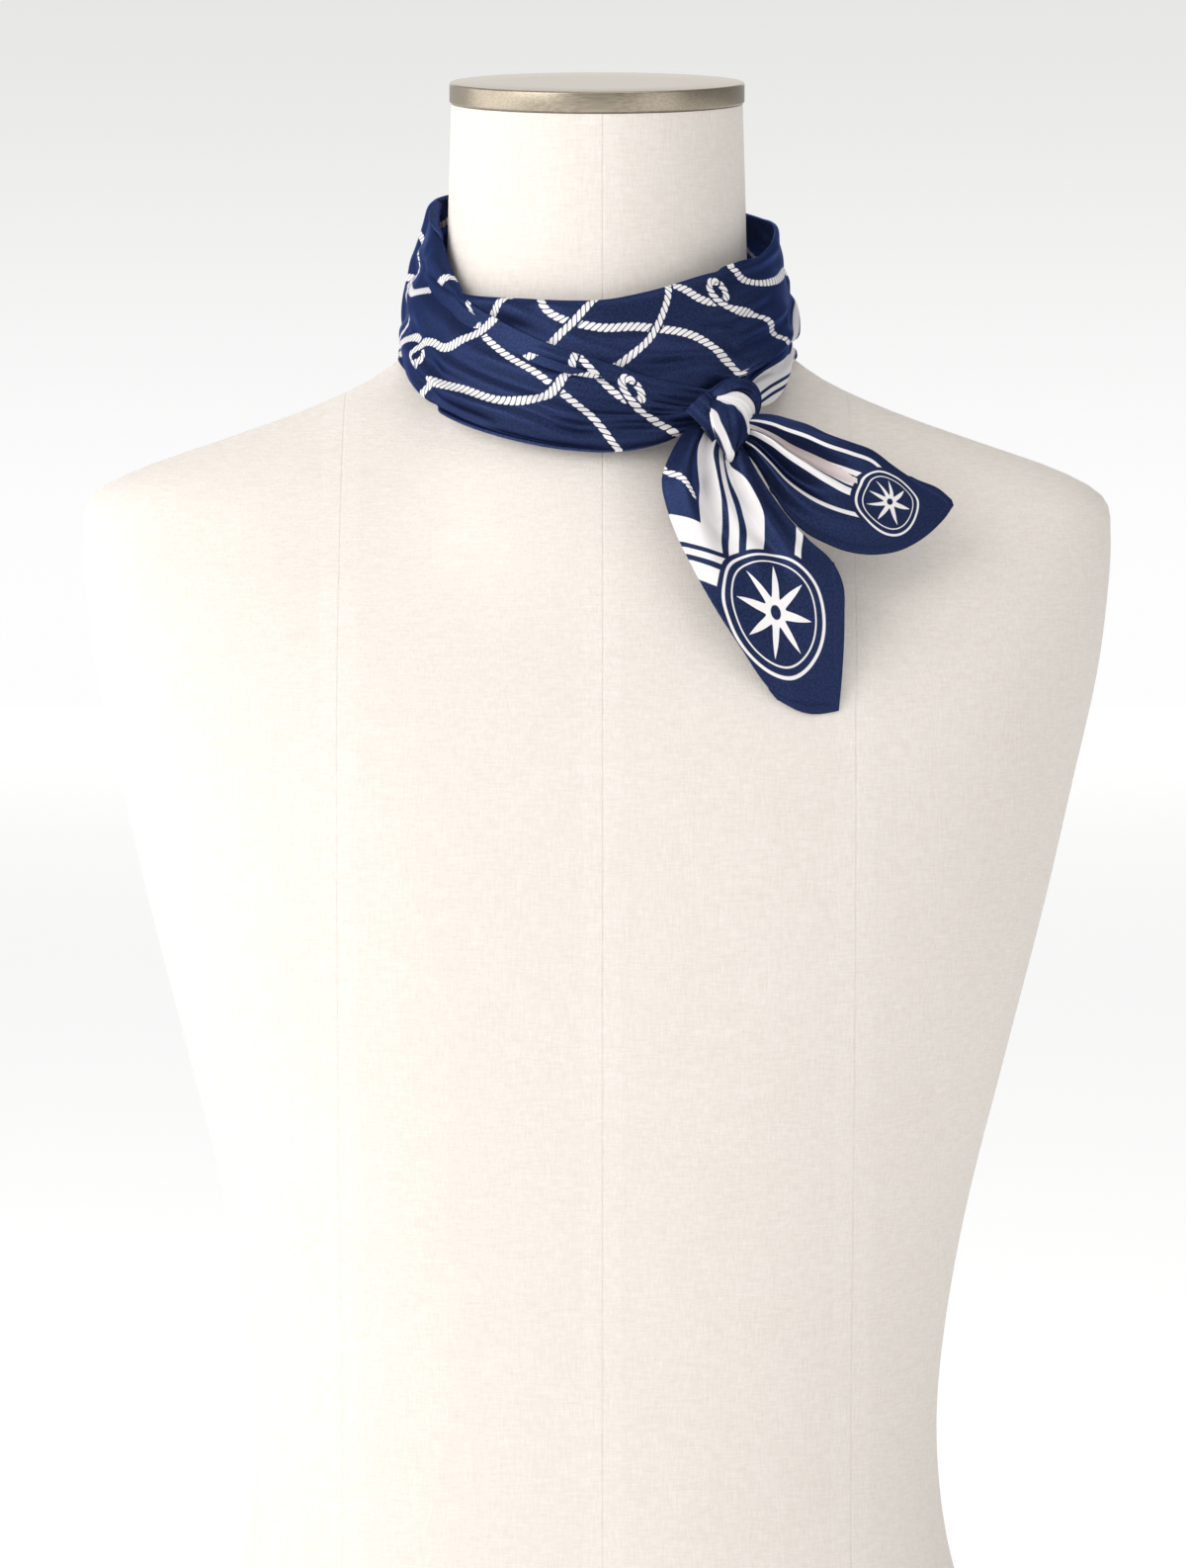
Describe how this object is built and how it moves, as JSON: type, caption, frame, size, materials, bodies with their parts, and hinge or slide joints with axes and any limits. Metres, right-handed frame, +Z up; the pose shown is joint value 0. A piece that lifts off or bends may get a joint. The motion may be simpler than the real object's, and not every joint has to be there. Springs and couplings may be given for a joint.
{
  "type": "silk square scarf on a dress form",
  "caption": "Silk square folded into a band, wound twice round the neck of a limbless dress form and knotted, with free corners hanging in front.",
  "frame": {"origin": "centre of the form's flat foot, under the neck's axis", "axes": "+Z up, -Y the way the form faces, +X the form's left side"},
  "size_m": [0.4398, 0.2368, 0.7251],
  "materials": {
    "silk": "printed silk twill, navy ground with white cords and border lines, soft sheen",
    "linen": "natural linen, plain weave, matt",
    "steel": "fine brushed"
  },
  "bodies": {
    "root": {"form_torso": "linen", "form_neck_cap": "steel", "scarf_front_wrap": "silk", "scarf_inner_wrap": "silk", "scarf_outer_wrap": "silk", "scarf_tail_lower": "silk", "scarf_tail_right": "silk", "scarf_knot_strand": "silk", "scarf_knot_loop": "silk"}
  },
  "joints": []
}
